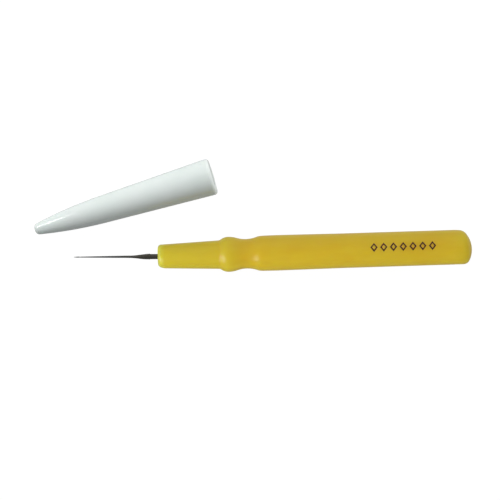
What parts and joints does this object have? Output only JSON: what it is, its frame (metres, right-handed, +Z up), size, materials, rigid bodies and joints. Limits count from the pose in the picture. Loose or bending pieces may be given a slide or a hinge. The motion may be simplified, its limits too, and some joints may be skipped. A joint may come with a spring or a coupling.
{
  "type": "spring bar tool",
  "caption": "Slim watch repair hand tool: round plastic handle with a waisted grip, a fine needle-like steel point, and a tapered push-on cap lying beside it.",
  "frame": {"origin": "centre of the handle's flat front face, on the handle's axis, where the steel point comes out", "axes": "+X along the handle's axis towards its butt, so the steel point reaches along -X; +Z up from the bench that the tool lies on; +Y to the side where the cap lies"},
  "size_m": [0.1093, 0.0284, 0.0092],
  "materials": {
    "handle_plastic": "glossy, slightly translucent moulded yellow plastic",
    "point_steel": "ground and hardened steel, darker on the shank",
    "cap_plastic": "glossy moulded white plastic with a slight cool tint"
  },
  "bodies": {
    "tool": {"handle": "handle_plastic", "steel_point": "point_steel"},
    "cap": {"cap": "cap_plastic"}
  },
  "joints": [
    {"name": "cap_swing", "type": "hinge", "parent": "tool", "child": "cap", "pos_m": [-0.0955, 0.275, 0], "axis": [0, 0, -1], "range_deg": [0, 14.9]}
  ]
}
